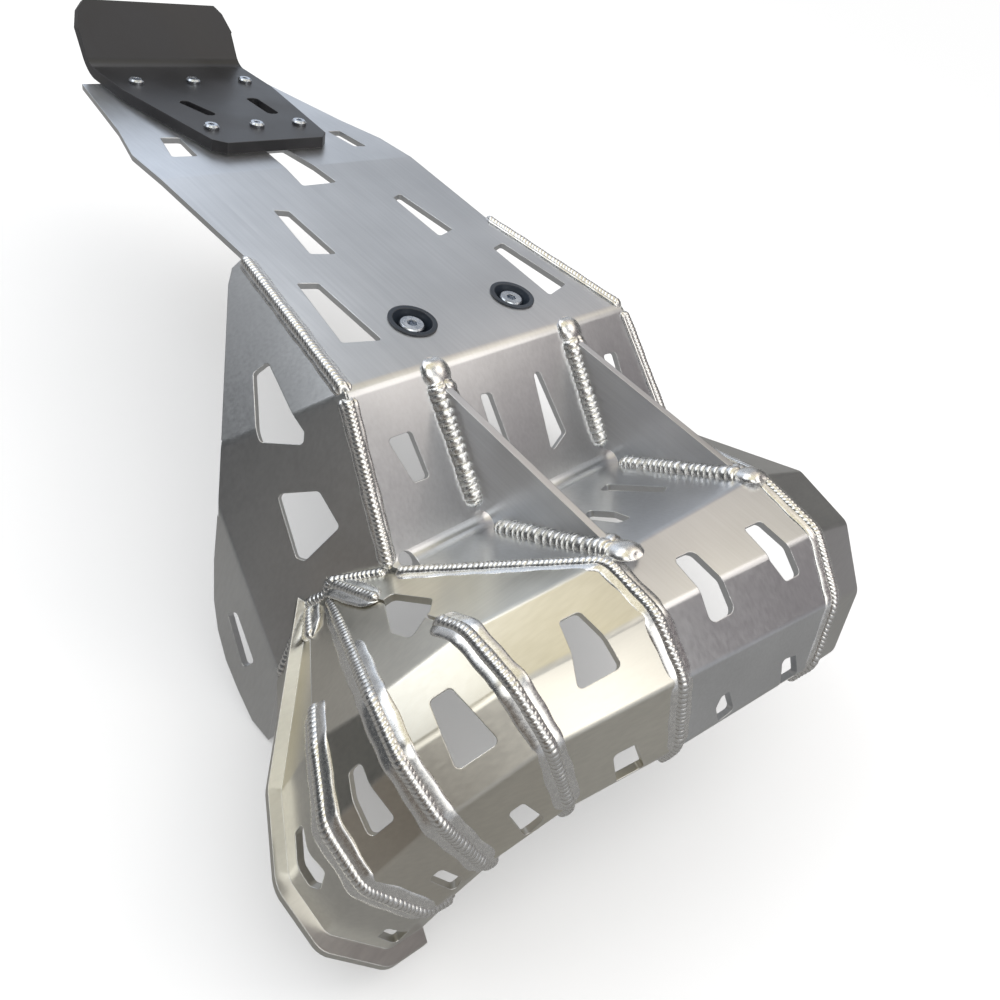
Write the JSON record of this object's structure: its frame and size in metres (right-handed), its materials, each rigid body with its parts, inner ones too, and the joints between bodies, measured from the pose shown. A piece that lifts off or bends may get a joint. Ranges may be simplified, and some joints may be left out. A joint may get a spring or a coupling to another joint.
{
  "type": "motorcycle skid plate",
  "caption": "Folded and welded aluminium skid plate with side panels, a gored exhaust-pipe guard curving to one side and a black plastic linkage guard at the rear.",
  "frame": {"origin": "midway between the two frame bolts, where their threads begin below the cups", "axes": "X across the plate, +Y to its rear, +Z out of the face that looks at the ground when it is fitted, so the row lies upside down as in the picture"},
  "size_m": [0.4545, 0.7111, 0.2037],
  "materials": {
    "sheet_aluminium": "brushed",
    "weld_metal": "rippled weld bead",
    "black_plastic": "satin",
    "black_rubber": "matt",
    "zinc_steel": "zinc plated"
  },
  "bodies": {
    "root": {"main_sheet": "sheet_aluminium", "guard_gore_1": "sheet_aluminium", "guard_gore_2": "sheet_aluminium", "guard_gore_3": "sheet_aluminium", "guard_gore_4": "sheet_aluminium", "guard_gore_right": "sheet_aluminium", "side_panel_left": "sheet_aluminium", "side_panel_right": "sheet_aluminium", "gusset_left": "sheet_aluminium", "gusset_right": "sheet_aluminium", "plate_weld_left": "weld_metal", "plate_weld_right": "weld_metal", "face_weld_left": "weld_metal", "face_weld_right": "weld_metal", "gore_weld_1": "weld_metal", "gore_weld_2": "weld_metal", "gore_weld_3": "weld_metal", "gore_weld_4": "weld_metal", "gore_weld_right": "weld_metal", "panel_weld_left": "weld_metal", "panel_weld_right": "weld_metal", "gusset_weld_left": "weld_metal", "gusset_weld_right": "weld_metal", "linkage_guard": "black_plastic", "guard_screws": "zinc_steel", "guard_nuts": "zinc_steel", "guard_washers": "zinc_steel", "mount_bolts": "zinc_steel", "mount_cups": "black_rubber"}
  },
  "joints": []
}
